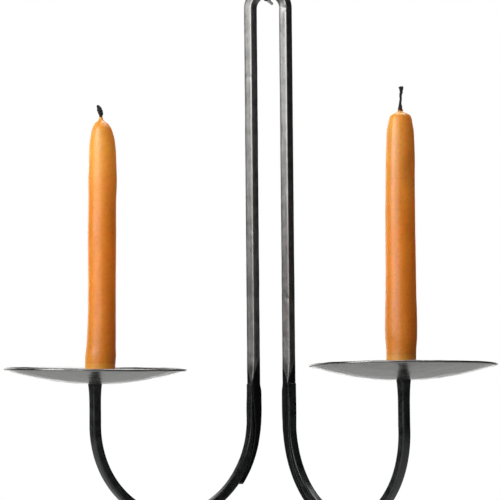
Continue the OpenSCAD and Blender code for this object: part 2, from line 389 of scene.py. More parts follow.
def finish_mesh(bm, name):
    """Turns a bmesh into a smooth-shaded object with its faces outward."""
    bmesh.ops.recalc_face_normals(bm, faces=bm.faces)
    mesh = bpy.data.meshes.new(name)
    bm.to_mesh(mesh)
    bm.free()
    mesh.polygons.foreach_set("use_smooth", [True] * len(mesh.polygons))
    piece = bpy.data.objects.new(name, mesh)
    bpy.context.scene.collection.objects.link(piece)
    return piece


def skin(name, rings, closed=False):
    """A closed mesh through rings of equal count: capped at both ends, or joined in a loop."""
    bm = bmesh.new()
    loops = [[bm.verts.new(p) for p in ring] for ring in rings]
    pairs = list(zip(loops, loops[1:]))
    if closed:
        pairs.append((loops[-1], loops[0]))
    for here, there in pairs:
        count = len(here)
        for k in range(count):
            after = (k + 1) % count
            bm.faces.new((here[k], here[after], there[after], there[k]))
    if not closed:
        for loop in (loops[0], loops[-1]):
            tip = bm.verts.new(middle([v.co for v in loop]))
            for k, v in enumerate(loop):
                bm.faces.new((v, loop[(k + 1) % len(loop)], tip))
    return finish_mesh(bm, name)


def circle(radius, z, sides, centre=(0.0, 0.0)):
    """Points round a level circle; radius is a number or a function of the angle."""
    points = []
    for k in range(sides):
        turn = 2 * math.pi * k / sides
        r = radius(turn) if callable(radius) else radius
        points.append(Vector((centre[0] + r * math.cos(turn), centre[1] + r * math.sin(turn), z)))
    return points


def placed(rings, place):
    return [[place @ p for p in ring] for ring in rings]


def arc(centre, radius, start, stop, steps):
    """(r, z) points along an arc in a turned outline, angles in degrees."""
    points = []
    for k in range(steps + 1):
        turn = math.radians(lerp(start, stop, k / steps))
        points.append((centre[0] + radius * math.cos(turn), centre[1] + radius * math.sin(turn)))
    return points


def smooth_through(stations, t):
    """Value at t on a smooth curve through (place, value) stations in rising order."""
    last = len(stations) - 1
    t = min(max(t, stations[0][0]), stations[last][0])
    i = max(k for k in range(last) if stations[k][0] <= t)

    def slope(k):
        before, after = stations[max(k - 1, 0)], stations[min(k + 1, last)]
        return (after[1] - before[1]) / (after[0] - before[0])

    (t0, v0), (t1, v1) = stations[i], stations[i + 1]
    gap = t1 - t0
    u = (t - t0) / gap
    return (v0 * (1 + 2 * u) * (1 - u) ** 2 + slope(i) * gap * u * (1 - u) ** 2
            + v1 * u * u * (3 - 2 * u) + slope(i + 1) * gap * u * u * (u - 1))


def spline(points, steps):
    """Points on a smooth curve through the given vectors (any size), steps per stretch."""
    run = [points[0]] + list(points) + [points[-1]]
    out = []
    for i in range(1, len(run) - 2):
        p0, p1, p2, p3 = run[i - 1:i + 3]
        for k in range(steps):
            t = k / steps
            out.append([0.5 * (2 * b + (c - a) * t + (2 * a - 5 * b + 4 * c - d) * t ** 2
                               + (3 * b - a - 3 * c + d) * t ** 3)
                        for a, b, c, d in zip(p0, p1, p2, p3)])
    out.append(list(points[-1]))
    return out


def install(piece, node, body, shader, slack=FIT_SLACK):
    """Gives a piece its material in a slot and its body, tests that it stands where its CAD node
    does, and hides that node.
    """
    low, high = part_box(node)
    corners = [v.co for v in piece.data.vertices]
    for axis in range(3):
        least = min(c[axis] for c in corners)
        most = max(c[axis] for c in corners)
        if abs(least - low[axis]) > slack or abs(most - high[axis]) > slack:
            raise RuntimeError(f"{piece.name} doesn't stand where {node} does, along axis {axis}: "
                               f"{least:.4f} to {most:.4f}, "
                               f"not {low[axis]:.4f} to {high[axis]:.4f}")
    piece.data.materials.append(shader.material)
    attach(piece, body)
    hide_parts(node)


# ---------------------------------------------------------------- materials

class NodeTree:
    """The node tree of a material or a world, with short calls that add and join its nodes."""

    def __init__(self, owner):
        owner.use_nodes = True
        self.tree = owner.node_tree
        self.tree.nodes.clear()
        self.place = self.add("ShaderNodeTexCoord")

    def add(self, kind, **values):
        made = self.tree.nodes.new(kind)
        for key, value in values.items():
            setattr(made, key, value)
        return made

    def join(self, source, output, target, socket):
        self.tree.links.new(source.outputs[output], target.inputs[socket])

    def ramp(self, source, output, stops):
        """Colours that follow a factor; stops are (place, colour), or (place, (grey,))."""
        scale = self.add("ShaderNodeValToRGB")
        points = scale.color_ramp.elements
        while len(points) < len(stops):
            points.new(0.5)
        for point, (where, tint) in zip(points, stops):
            point.position = where
            point.color = (*tint, 1) if len(tint) == 3 else (tint[0],) * 3 + (1,)
        self.join(source, output, scale, "Fac")
        return scale


class Shader(NodeTree):
    """A material round one Principled surface."""

    def __init__(self, name):
        self.material = bpy.data.materials.get(name) or bpy.data.materials.new(name)
        super().__init__(self.material)
        output = self.add("ShaderNodeOutputMaterial")
        self.surface = self.add("ShaderNodeBsdfPrincipled")
        self.join(self.surface, "BSDF", output, "Surface")

    def set(self, **values):
        """Sets sockets of the surface; an underscore stands for a space."""
        for key, value in values.items():
            self.surface.inputs[key.replace("_", " ")].default_value = value

    def grain(self, scale, detail=3.0, stretch=(1, 1, 1), roughness=0.5, distortion=0.0):
        """Noise through the piece's own space; scale is in marks to the metre."""
        mapping = self.add("ShaderNodeMapping")
        mapping.inputs["Scale"].default_value = stretch
        marks = self.add("ShaderNodeTexNoise")
        marks.inputs["Scale"].default_value = scale
        marks.inputs["Detail"].default_value = detail
        marks.inputs["Roughness"].default_value = roughness
        marks.inputs["Distortion"].default_value = distortion
        self.join(self.place, "Object", mapping, "Vector")
        self.join(mapping, "Vector", marks, "Vector")
        return marks

    def height(self, low, high):
        """A factor that is 0 up to one height, 1 from another, and rises evenly in between."""
        split = self.add("ShaderNodeSeparateXYZ")
        rise = self.add("ShaderNodeMapRange")
        rise.inputs["From Min"].default_value = low
        rise.inputs["From Max"].default_value = high
        self.join(self.place, "Object", split, "Vector")
        self.join(split, "Z", rise, "Value")
        return rise

    def mix(self, factor, below, above, blend="MIX"):
        """Mixes two colours, each a node with a Color output or a plain colour."""
        mixer = self.add("ShaderNodeMix", data_type="RGBA", blend_type=blend)
        for source, socket in ((factor, 0), (below, 6), (above, 7)):
            if isinstance(source, bpy.types.Node):
                self.tree.links.new(self.tint(source), mixer.inputs[socket])
            elif socket:
                mixer.inputs[socket].default_value = (*source, 1)
            else:
                mixer.inputs[socket].default_value = source
        return mixer

    def tint(self, node):
        """The output of a node that carries its colour or grey."""
        return node.outputs[2] if node.bl_idname == "ShaderNodeMix" else node.outputs[0]

    def colour(self, node):
        """Sends a node's colour to the surface."""
        self.tree.links.new(self.tint(node), self.surface.inputs["Base Color"])

    def bump(self, *layers):
        """Relief from (node, depth in metres) layers, coarse to fine."""
        normal = None
        for marks, depth in layers:
            relief = self.add("ShaderNodeBump")
            relief.inputs["Strength"].default_value = 1.0
            relief.inputs["Distance"].default_value = depth
            self.tree.links.new(marks.outputs[0], relief.inputs["Height"])
            if normal:
                self.join(normal, "Normal", relief, "Normal")
            normal = relief
        self.join(normal, "Normal", self.surface, "Normal")


def satin_black(name, paint, worn, roughness, streaks, wear, metal=0.0):
    """Satin black hammered steel: mottled sheen, fine stipple and wear along the edges."""
    shader = Shader(name)
    mottle = shader.grain(170, 4)
    stipple = shader.grain(1500, 2, roughness=0.6)
    streak = shader.grain(900, 3, stretch=(1, 1, 0.025))
    scuffs = shader.grain(420, 5, roughness=0.7)
    contrast = 0.45 - 0.3 * metal
    lighter = [min(1, c * (1 + contrast) + 0.003) for c in paint]
    darker = [c * (1 - contrast * 0.8) for c in paint]
    base = shader.ramp(mottle, "Fac", [(0.36, darker), (0.66, lighter)])
    streaky = shader.ramp(streak, "Fac", [(0.34, (0.72,)), (0.70, (1.28,))])
    marked = shader.mix(streaks, base, streaky, "MULTIPLY")
    place = shader.add("ShaderNodeNewGeometry")
    edges = shader.ramp(place, "Pointiness", [(0.515, (0,)), (0.60, (1,))])
    patches = shader.ramp(scuffs, "Fac", [(0.50, (0,)), (0.62, (wear,))])
    bare = shader.mix(1.0, edges, patches, "MULTIPLY")
    shader.colour(shader.mix(bare, marked, worn))
    sheen = shader.ramp(mottle, "Fac", [(0.30, (roughness - 0.05,)), (0.72, (roughness + 0.07,))])
    shader.join(sheen, "Color", shader.surface, "Roughness")
    shader.bump((mottle, 0.09 * MM), (streak, 0.02 * MM), (stipple, 0.02 * MM))
    shader.set(Metallic=metal, IOR=1.52)
    return shader


# Tips of the V-shaped edges of the painted shade on the laps: shift in X of both, and half the way
# apart
LAP_TIP_SHIFT, LAP_TIP_APART = 0.85 * MM, 14.39 * MM


def shade_painted_laps(shader, lap_z, lap_shade_black, lean=3.2):
    """Paints shade on the bar below the laps' tops: a far darker steel there, each with a V-shaped
    edge.

    The V's lowest point lies on the face beside each leg's front corner.
    """
    split = shader.add("ShaderNodeSeparateXYZ")
    shader.join(shader.place, "Object", split, "Vector")
    across = [shader.add("ShaderNodeMath", operation=name)
              for name in ("ADD", "ABSOLUTE", "SUBTRACT", "ABSOLUTE", "MULTIPLY_ADD")]
    across[0].inputs[1].default_value = LAP_TIP_SHIFT
    across[2].inputs[1].default_value = LAP_TIP_APART
    across[4].inputs[1].default_value = -lean
    shader.join(split, "X", across[0], 0)
    for before, after in zip(across, across[1:]):
        shader.join(before, 0, after, 0)
    shader.join(split, "Z", across[4], 2)
    ragged = shader.grain(420, 3)
    edge = shader.add("ShaderNodeMath", operation="MULTIPLY_ADD")
    edge.inputs[1].default_value = 3 * MM
    shader.join(ragged, "Fac", edge, 0)
    shader.join(across[4], 0, edge, 2)
    # Painted shade: the bar's colour turns far darker below each lap's top
    unshaded = shader.add("ShaderNodeMapRange")
    unshaded.inputs["From Min"].default_value = lap_z + 0.2 * MM
    unshaded.inputs["From Max"].default_value = lap_z + 2.8 * MM
    shader.join(edge, 0, unshaded, "Value")
    above = shader.surface.inputs["Base Color"].links[0].from_node
    shader.colour(shader.mix(unshaded, lap_shade_black, above))


def dipped_wax(name, light, deep, foot_z, height, lip):
    """Amber wax with a soft glow, cloudy patches, dip rings and a pale lip at the foot."""
    shader = Shader(name)
    clouds = shader.grain(38, 4, stretch=(1, 1, 0.35), distortion=0.6)
    flecks = shader.grain(520, 3)
    rings = shader.grain(260, 2, stretch=(0.12, 0.12, 1))
    rise = shader.height(foot_z, foot_z + height)
    lip = lip / height
    pale = [(a + b) / 2 for a, b in zip(deep, light)]
    # The wax is paler at the lip, a little darker just above it, deep amber to halfway up, then paler
    # to the top
    darker_band = [c * 0.9 for c in deep]
    along = shader.ramp(rise, "Result", [(0.0, pale), (lip, pale), (lip + 0.006, darker_band),
                                         (lip + 0.014, deep), (0.55, deep), (1.0, light)])
    cloudy = shader.ramp(clouds, "Fac", [(0.32, (0.80, 0.74, 0.66)), (0.68, (1.10, 1.12, 1.18))])
    wax = shader.mix(0.85, along, cloudy, "MULTIPLY")
    specks = shader.ramp(flecks, "Fac", [(0.30, (0.86,)), (0.55, (1.04,))])
    shader.colour(shader.mix(0.6, wax, specks, "MULTIPLY"))
    sheen = shader.ramp(clouds, "Fac", [(0.3, (0.36,)), (0.7, (0.48,))])
    shader.join(sheen, "Color", shader.surface, "Roughness")
    shader.bump((clouds, 0.35 * MM), (rings, 0.12 * MM), (flecks, 0.04 * MM))
    shader.set(Subsurface_Weight=0.85, Subsurface_Radius=(1.0, 0.24, 0.05),
               Subsurface_Scale=0.02, IOR=1.7)
    return shader


def charred_cotton(name, char, soaked, soaked_z):
    """Braided cotton burnt black, with grey ash on its high fibres, and wax-soaked at its foot."""
    shader = Shader(name)
    fibres = shader.grain(2600, 4, stretch=(1, 1, 0.4))
    ash = shader.grain(900, 5, roughness=0.7)
    burnt = shader.ramp(ash, "Fac", [(0.45, char), (0.75, [c * 4 + 0.01 for c in char])])
    rise = shader.height(soaked_z + 1 * MM, soaked_z + 5 * MM)
    shader.colour(shader.mix(rise, soaked, burnt))
    shader.bump((fibres, 0.12 * MM))
    shader.set(Roughness=0.92)
    return shader


def pale_floor(name, tint):
    """A matt, pale studio floor with the faintest mottling."""
    shader = Shader(name)
    mottle = shader.grain(3, 4)
    shader.colour(shader.ramp(mottle, "Fac", [(0.3, [c * 0.985 for c in tint]), (0.7, tint)]))
    shader.set(Roughness=0.85)
    return shader


# ---------------------------------------------------------------- the pieces

class SCONCE_OT_wall_nail(bpy.types.Operator):
    """Makes the wall nail: shank and point in the wall, neck, and a head domed by the hammer"""

    bl_idname = "sconce.wall_nail"
    bl_label = "Wall nail"

    def execute(self, context):
        pans, finish = context.scene.sconce_pans, context.scene.sconce_finish
        head = 1.6 * MM
        outline = [(0.05 * MM, -pans.nail_in_wall), (0.2 * MM, 0.1 * MM - pans.nail_in_wall),
                   (pans.nail_radius, 5 * MM - pans.nail_in_wall), (pans.nail_radius, -0.2 * MM),
                   (pans.nail_radius + 0.1 * MM, 0), (pans.neck_radius - 0.15 * MM, 0),
                   (pans.neck_radius, 0.2 * MM), (pans.neck_radius, pans.nail_out)]
        outline += arc((pans.head_radius - 0.3 * MM, pans.nail_out + 0.3 * MM), 0.3 * MM, -90, 0, 4)
        outline += [(pans.head_radius * 0.985, pans.nail_out + head * 0.55),
                    (pans.head_radius * 0.86, pans.nail_out + head * 0.8),
                    (pans.head_radius * 0.6, pans.nail_out + head * 0.95),
                    (pans.head_radius * 0.2, pans.nail_out + head)]
        lie_down = Matrix.Rotation(math.pi / 2, 4, "X")
        rings = placed([circle(r, z, 40) for r, z in outline], lie_down)
        nail = skin("forged_wall_nail", rings)
        steel = satin_black("nail_dark_oxide", finish.arm_black, finish.worn_steel, 0.42, 0.3, 0.5)
        install(nail, "wall_nail", "nail", steel)
        return {"FINISHED"}


# Small dents in the front edge of the legs: (side, height above the J bends, depth, half length)
LEG_NICKS = ((RIGHT, 325 * MM, 0.9 * MM, 1.6 * MM), (LEFT, 271 * MM, 0.45 * MM, 1.2 * MM),
             (RIGHT, 96 * MM, 0.3 * MM, 1.5 * MM), (LEFT, 150 * MM, 0.25 * MM, 1.4 * MM))


class SCONCE_OT_hanger(bpy.types.Operator):
    """Makes the hairpin hanger: round top bend, twisted legs, and thinned tails round each bend"""

    bl_idname = "sconce.hanger"
    bl_label = "Hairpin hanger"

    def section(self, route, centre, outward, turn):
        """One ring of the hanger bar, turned from lying square to its outward direction."""
        size = route.size
        a = outward * math.cos(turn) + FRONT * math.sin(turn)
        b = FRONT * math.cos(turn) - outward * math.sin(turn)
        return bar_ring(centre, a, b, size.bar_side, size.bar_side, size.bar_corner)

    def tail(self, route, side):
        """Rings down a leg's tail, which thins and follows the outside of the arm."""
        size = route.size
        rings = []
        for rise, turn, down, part in route.lap_stations(side):
            inward = route.inward(side, turn)
            thick = route.tail_thickness(down, part)
            covered = route.feather(down) + route.arm_thickness(down, part)
            centre = route.inner_point(side, turn, rise) - inward * (covered + thick / 2)
            wide = lerp(size.bar_side, (size.bar_side + size.arm_side) / 2, part)
            rings.append(bar_ring(centre, inward, route.across(side), thick, wide,
                                  size.bar_corner))
        return rings

    def leg(self, route, side, step=1.5 * MM):
        """Rings up a leg from its lap to the top bend; it twists just above the lap."""
        size = route.size
        start, stop = route.lap_height(side), size.leg_drop + route.drop(side)
        count = round((stop - start) / step)
        rings = []
        for i in range(1, count):
            rise = lerp(start, stop, i / count)
            twisted = ease((rise - start) / size.twist_length)
            turn = math.radians(45) - side * size.bar_turn * twisted
            rings.append(self.section(route, route.leg_foot(side) + UP * rise,
                                      Vector((side, 0, 0)), turn))
        return rings

    def top(self, route, steps=48):
        """Rings over the top bend, from the left leg to the right one."""
        size = route.size
        rings = []
        for i in range(steps + 1):
            bend = math.pi * i / steps
            outward = Vector((-math.cos(bend), 0, math.sin(bend)))
            centre = Vector((0, -size.wall_gap, route.bend_z)) + outward * size.leg_half_gap
            rings.append(self.section(route, centre, outward,
                                      math.radians(45) + size.bar_turn * math.cos(bend)))
        return rings

    def nicked(self, route, ring):
        """The ring with the dents of LEG_NICKS pressed into its front edge."""
        centre = middle(ring)
        front = min(p.y for p in ring)
        out = []
        for p in ring:
            for side, rise, depth, half in LEG_NICKS:
                if centre.x * side > 0:
                    gone = (p.z - route.j_z - rise) / half
                    edge = (p.y - front) / (1.1 * MM)
                    p = p + (centre - p).normalized() * depth * math.exp(-gone * gone - edge * edge)
            out.append(p)
        return out

    def execute(self, context):
        route = Route(context.scene)
        finish = context.scene.sconce_finish
        rings = self.tail(route, LEFT)[::-1] + self.leg(route, LEFT) + self.top(route)
        rings += self.leg(route, RIGHT)[::-1] + self.tail(route, RIGHT)
        rings = rounded_ends(hammered(rings, route.size.hammer_depth, 3.0), 0.9 * MM)
        rings = [self.nicked(route, ring) for ring in rings]
        hanger = skin("forged_hanger", rings)
        paint = satin_black("hanger_satin_black", finish.bar_black, finish.worn_steel,
                            0.36, 0.6, 0.35, metal=1.0)
        # Painted shade on the laps, far darker than the rest of the bar
        shade_painted_laps(paint, route.j_z + route.size.lap_rise, finish.lap_shade_black)
        install(hanger, "hairpin_hanger", "frame", paint)
        return {"FINISHED"}


class SCONCE_OT_arms(bpy.types.Operator):
    """Makes both arms: thin lapped end, J bend, and a stem upset where it carries the pan"""

    bl_idname = "sconce.arms"
    bl_label = "Arms"

    def rings(self, route, side, bend_step=2 * MM):
        """Rings down the lap, round the J bend and up the stem to the pan's seat."""
        size = route.size
        level = route.across(side)
        rings = []
        for rise, turn, down, part in route.lap_stations(side):
            inward, thick = route.inward(side, turn), route.arm_thickness(down, part)
            centre = route.inner_point(side, turn, rise) \
                - inward * (route.feather(down) + thick / 2)
            rings.append(bar_ring(centre, inward, level, thick, size.arm_side, size.arm_corner))
        tail = route.tail(side)
        count = round((math.pi - tail) * route.j_r(side) / bend_step)
        for i in range(1, count + 1):
            turn = lerp(tail, math.pi, i / count)
            inward = route.inward(side, turn)
            centre = route.inner_point(side, turn) - inward * size.arm_side / 2
            rings.append(bar_ring(centre, inward, level, size.arm_side, size.arm_side,
                                  size.arm_corner))
        upset_from = 0.5
        steps = 14
        out = -route.along(side)
        for i in range(1, steps):
            rise = i / steps
            swell = max(0.0, (rise - upset_from) / (1 - upset_from))
            wide = size.arm_side + size.stem_flare * swell * swell
            centre = route.stem_foot(side) + UP * route.stem_height(side) * rise
            rings.append(bar_ring(centre, out, level, wide, wide, size.arm_corner))
        rings = hammered(rings, size.hammer_depth, 11.0 + side)
        wide = size.arm_side + size.stem_flare
        place = route.stem_top(side)
        seat = bar_ring(Vector(), out, level, wide, wide, size.arm_corner)
        rings.append([place @ p for p in seat])
        return rings

    def execute(self, context):
        route = Route(context.scene)
        finish = context.scene.sconce_finish
        paint = satin_black("arm_satin_black", finish.arm_black, finish.worn_steel,
                            0.27, 0.3, 0.12)
        for side, word in SIDE_NAMES.items():
            arm = skin(f"forged_{word}_arm", self.rings(route, side))
            install(arm, f"{word}_arm", "frame", paint)
        return {"FINISHED"}


# Planishing: height of its marks, their spacing, and where they come in round the collar
PLANISH_HEIGHT, PLANISH_SPACING = 0.28 * MM, 15 * MM
PLANISH_FROM, PLANISH_OVER = 9 * MM, 8 * MM


class SCONCE_OT_drip_pans(bpy.types.Operator):
    """Makes both drip pans: dished sheet, planished by hand, with a bead rolled round the rim"""

    bl_idname = "sconce.drip_pans"
    bl_label = "Drip pans"

    def outline(self, pans):
        """(r, z) points round the sheet's section, from the hole out underneath and back on top."""
        rim = pans.width / 2 - pans.bead
        flat = pans.collar_radius + 0.5 * MM
        rise = pans.depth - pans.bead

        def dish(r):
            return 0.0 if r <= flat else rise * ((r - flat) / (rim - flat)) ** 1.7

        steps = 30
        sheet_edge = rim - pans.bead * 0.9
        radii = [lerp(pans.shank_radius, sheet_edge, i / steps) for i in range(steps + 1)]
        under = [(r, dish(r)) for r in radii]
        over = [(r, dish(r) + pans.sheet) for r in reversed(radii)]
        bead_centre = (rim, dish(rim) + pans.sheet / 2)
        return under + arc(bead_centre, pans.bead, -125, 125, 14) + over

    def planish(self, p, seed):
        """How far the sheet stands up at p, the same for both of its faces."""
        reach = math.hypot(p.x, p.y)
        share = min(1, max(0, (reach - PLANISH_FROM) / PLANISH_OVER))
        spot = Vector((p.x, p.y, seed * MM)) / PLANISH_SPACING
        return PLANISH_HEIGHT * share * (noise.noise(spot) + 0.35 * noise.noise(spot * 2.7))

    def execute(self, context):
        route = Route(context.scene)
        finish = context.scene.sconce_finish
        paint = satin_black("pan_satin_black", finish.pan_black, finish.worn_steel,
                            0.22, 0.12, 0.2, metal=1.0)
        for side, word in SIDE_NAMES.items():
            seed = 40 + 7 * side
            rings = [circle(r, z, 160) for r, z in self.outline(route.pans)]
            rings = [[p + UP * self.planish(p, seed) for p in ring] for ring in rings]
            pan = skin(f"dished_{word}_drip_pan", placed(rings, route.stem_top(side)), closed=True)
            install(pan, f"{word}_drip_pan", "frame", paint)
        return {"FINISHED"}


class SCONCE_OT_spikes(bpy.types.Operator):
    """Makes both candle spikes: shank, rounded collar and a hand-filed point"""

    bl_idname = "sconce.spikes"
    bl_label = "Candle spikes"

    def filed(self, r):
        """Radius at each angle round the point, filed a little flatter on four sides."""
        return lambda turn: r * (1 - 0.03 * (1 - math.cos(4 * turn)) * (r < 3 * MM))

    def execute(self, context):
        route = Route(context.scene)
        pans, finish = route.pans, context.scene.sconce_finish
        top = pans.sheet + pans.collar_height
        edge = 0.5 * MM
        outline = [(pans.shank_radius, -pans.shank_depth), (pans.shank_radius, pans.sheet)]
        outline += arc((pans.collar_radius - edge, pans.sheet + edge), edge, -90, 0, 4)
        outline += arc((pans.collar_radius - edge, top - edge), edge, 0, 90, 4)
        outline += [(pans.spike_radius + 0.6 * MM, top),
                    (pans.spike_radius + 0.15 * MM, top + 0.3 * MM)]
        steps = 10
        outline += [(lerp(pans.spike_radius, 0.4 * MM, i / steps),
                     top + pans.spike_length * (0.03 + 0.97 * i / steps)) for i in range(steps + 1)]
        steel = satin_black("spike_satin_black", finish.arm_black, finish.worn_steel,
                            0.42, 0.4, 0.5)
        rings = [circle(self.filed(r) if z > top else r, z, 48) for r, z in outline]
        for side, word in SIDE_NAMES.items():
            spike = skin(f"turned_{word}_spike", placed(rings, route.stem_top(side)))
            install(spike, f"{word}_spike", "frame", steel)
        return {"FINISHED"}


# Outline of each candle, in mm: (height above the foot, radius). Wax climbs the wick at the top.
CANDLE_OUTLINES = {
    LEFT: ((0, 11.2), (12, 11.5), (19, 11.65), (24, 11.2), (31, 10.95), (45, 10.65), (70, 10.5),
           (112, 10.75), (136, 10.55), (151, 10.9), (162, 10.5), (173, 10.2), (180.5, 9.5),
           (184, 8.8), (188, 7.8), (190.4, 6.95), (192.6, 5.6), (194, 4.5), (195.4, 2.5),
           (196.6, 1.7), (198.2, 1.3)),
    RIGHT: ((0, 10.9), (12, 11.1), (18.7, 11.2), (22.4, 11.4), (29, 11.9), (42, 11.95),
            (60, 11.5), (89, 11.2), (134, 11.05), (158, 10.95), (176, 10.35), (180, 10.25),
            (184, 9.9), (186, 9.55), (188.3, 9.1), (191.2, 8.6), (192.7, 8.1), (194.2, 7.25),
            (195.7, 5.0), (196.4, 2.9), (197.2, 2.1), (198.2, 1.7)),
}
# How a candle's centre wanders sideways, in mm: (height above the foot, shift in X)
CANDLE_WANDER = {
    LEFT: ((0, -0.3), (12, -0.05), (30, 0.6), (60, 0.8), (91, 0.6), (136, 0.5), (163, 0.6),
           (181, 0.1), (190, -0.4), (196, -1.0), (199, -1.0)),
    RIGHT: ((0, -0.4), (30, 0.1), (70, 0.3), (130, 0.4), (170, 1.0), (190, 1.1), (199, 1.4)),
}

# Height of the pale lip that the last dip left round each foot
LIP_HEIGHTS = {LEFT: 11.4 * MM, RIGHT: 15 * MM}


class SCONCE_OT_candles(bpy.types.Operator):
    """Makes both candles: hand-dipped, a little crooked, with a spike hole in the foot"""

    bl_idname = "sconce.candles"
    bl_label = "Candles"
    sides_round = 96

    def skin_ring(self, route, side, z, inset=0.0):
        """One ring of the dipped outside, uneven all round."""
        radius = smooth_through(CANDLE_OUTLINES[side], z / MM) * MM - inset
        shift = smooth_through(CANDLE_WANDER[side], z / MM) * MM
        ripple = route.candles.dip_ripple
        seed = Vector((5.0 * side, 1.0, 0))

        def uneven(turn):
            spot = Vector((math.cos(turn) * 0.8, math.sin(turn) * 0.8, z / (26 * MM))) + seed
            fine = Vector((math.cos(turn) * 2.4, math.sin(turn) * 2.4, z / (9 * MM))) + seed
            return radius + ripple * (noise.noise(spot) + 0.35 * noise.noise(fine)) \
                * min(1, radius / (8 * MM)) ** 2
        return circle(uneven, z, self.sides_round, (shift, 0))

    def rings(self, route, side):
        """Rings from the spike hole's tip, out over the foot and up to the candle's top."""
        pans = route.pans
        top = CANDLE_OUTLINES[side][-1][0] * MM
        rings = []
        # Spike hole, from its tip down to its mouth
        hole_at = (side * route.candle_off(side), 0)
        hole_deep = pans.spike_length + route.candles.lift
        for part in (0.04, 0.25, 0.5, 0.75, 1.0):
            r = lerp(0.4 * MM, pans.spike_radius, part) + route.candles.lift
            rings.append(circle(r, hole_deep * (1 - part), self.sides_round, hole_at))
        # Flat of the foot and its rounded edge
        mouth, foot = rings[-1], self.skin_ring(route, side, 0.0, 1.2 * MM)
        rings += [[m.lerp(f, part) for m, f in zip(mouth, foot)] for part in (0.2, 0.5, 0.8)]
        rings.append(foot)
        for z, inset in ((0.12, 0.55), (0.5, 0.2), (1.2, 0.0)):
            rings.append(self.skin_ring(route, side, z * MM, inset * MM))
        # Dipped side and top, with finer steps where the top draws in
        z = 2 * MM
        while z < top:
            rings.append(self.skin_ring(route, side, z))
            z += 2 * MM if z < top - 24 * MM else 0.5 * MM
        rings.append(self.skin_ring(route, side, top))
        return rings

    def execute(self, context):
        route = Route(context.scene)
        finish = context.scene.sconce_finish
        for side, word in SIDE_NAMES.items():
            candle = skin(f"dipped_{word}_candle",
                          placed(self.rings(route, side), route.candle_foot(side)))
            foot_z = route.candle_foot(side).translation.z
            wax = dipped_wax(f"{word}_amber_wax", finish.wax_light, finish.wax_deep, foot_z,
                             route.candle_height(side), LIP_HEIGHTS[side])
            install(candle, f"{word}_candle", f"{word}_candle_body", wax,
                    CANDLE_SLACK)
        return {"FINISHED"}


# Wick above the candle's top, in mm: (sideways, height, radius)
WICK_BENDS = {
    LEFT: ((0, -3, 0.9), (0, 1.6, 1.3), (0, 3.0, 1.15), (-0.15, 4.6, 1.65), (-0.4, 6.1, 2.05),
           (-0.85, 7.6, 2.1), (-1.4, 9.1, 1.95), (-2.2, 10.6, 1.4), (-2.9, 11.8, 0.8)),
    RIGHT: ((0, -3, 1.4), (0, 1.0, 2.1), (0, 3.9, 1.6), (0, 6.9, 1.05), (0.4, 9.9, 0.93),
            (0.35, 12.8, 1.05), (0.75, 15, 1.15), (0.85, 17.3, 1.4), (0.8, 18.8, 2.0),
            (0.7, 19.7, 1.3)),
}


class SCONCE_OT_wicks(bpy.types.Operator):
    """Makes both wicks: braided cotton, burnt and curled, with a crust at the end"""

    bl_idname = "sconce.wicks"
    bl_label = "Wicks"

    def rings(self, side, sides=20):
        """Rings up a wick, ridged by two sets of strands that cross."""
        run = spline([[v * MM for v in bend] for bend in WICK_BENDS[side]], 14)
        rings = []
        gone = 0.0
        for i, (x, z, radius) in enumerate(run):
            before, after = run[max(i - 1, 0)], run[min(i + 1, len(run) - 1)]
            ahead = Vector((after[0] - before[0], 0, after[1] - before[1])).normalized()
            sideways = ahead.cross(Vector((0, 1, 0)))
            gone += math.hypot(x - before[0], z - before[1])
            strand = 2 * math.pi * gone / (2.6 * MM)
            ring = []
            for k in range(sides):
                turn = 2 * math.pi * k / sides
                spot = Vector((math.cos(turn), math.sin(turn), gone / (0.9 * MM)))
                braid = 0.09 * math.sin(3 * turn + strand) + 0.09 * math.sin(3 * turn - strand)
                r = radius * (0.9 + braid + 0.22 * noise.noise(spot * 1.3))
                ring.append(Vector((x, 0, z)) + sideways * r * math.cos(turn)
                            + Vector((0, 1, 0)) * r * math.sin(turn))
            rings.append(ring)
        return rings

    def execute(self, context):
        route = Route(context.scene)
        finish = context.scene.sconce_finish
        for side, word in SIDE_NAMES.items():
            height = route.candle_height(side)
            soaked_z = (route.candle_foot(side) @ Vector((0, 0, height))).z
            cotton = charred_cotton(f"charred_{word}_wick", finish.char, finish.soaked, soaked_z)
            shift = smooth_through(CANDLE_WANDER[side], height / MM) * MM
            top = route.candle_foot(side) @ Matrix.Translation((shift, 0, height))
            wick = skin(f"braided_{word}_wick", placed(self.rings(side), top))
            install(wick, f"{word}_wick", f"{word}_candle_body", cotton, WICK_SLACK)
        return {"FINISHED"}


# ---------------------------------------------------------------- the stage

# Soft boxes: (name, azimuth, elevation, distance, (width, height), watts); azimuth 0 is in front
SOFT_BOXES = (("left_soft_box", -46, 22, 1.3, (0.72, 0.8), 12),
              ("front_soft_box", -14, 12, 1.7, (0.6, 1.0), 6),
              ("overhead_soft_box", 165, 72, 1.8, (1.4, 1.4), 26))
BACKDROP_TURN = math.radians(25)    # how far left of straight behind the lit backdrop is
# Brightness of the room, from the side away from the backdrop (0) to the backdrop's middle (1)
ROOM_SHADES = ((0.0, (0.12,)), (0.3, (0.03,)), (0.84, (0.03,)), (0.96, (2.0,)))


